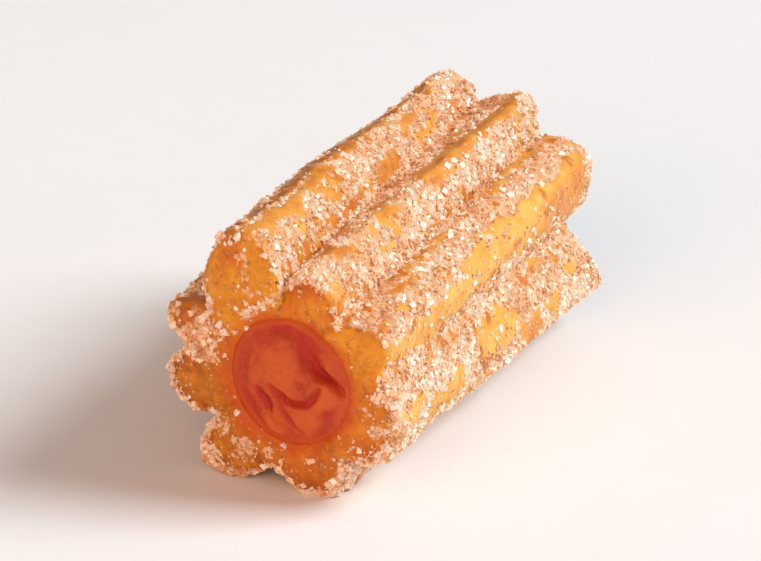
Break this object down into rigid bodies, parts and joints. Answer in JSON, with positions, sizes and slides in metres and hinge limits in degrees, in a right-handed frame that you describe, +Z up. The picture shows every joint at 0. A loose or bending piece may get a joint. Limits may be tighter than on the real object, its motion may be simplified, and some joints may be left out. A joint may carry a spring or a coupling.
{
  "type": "churro",
  "caption": "Short filled churro: a star-piped stick of fried dough under cinnamon sugar, cut across to show its soft orange filling.",
  "frame": {"origin": "middle of the footprint's box, on the surface that the churro rests on", "axes": "+X along the churro from its front cut face to its back one, +Z up, +Y to the left of someone who faces the front cut"},
  "size_m": [0.0468, 0.0236, 0.0239],
  "materials": {
    "sugared_dough": "golden fried dough with a dense coat of cinnamon sugar, bare and slightly oily at the cuts",
    "orange_filling": "soft, moist orange-red filling with swirled creases"
  },
  "bodies": {
    "root": {"dough": "sugared_dough", "filling": "orange_filling"}
  },
  "joints": []
}
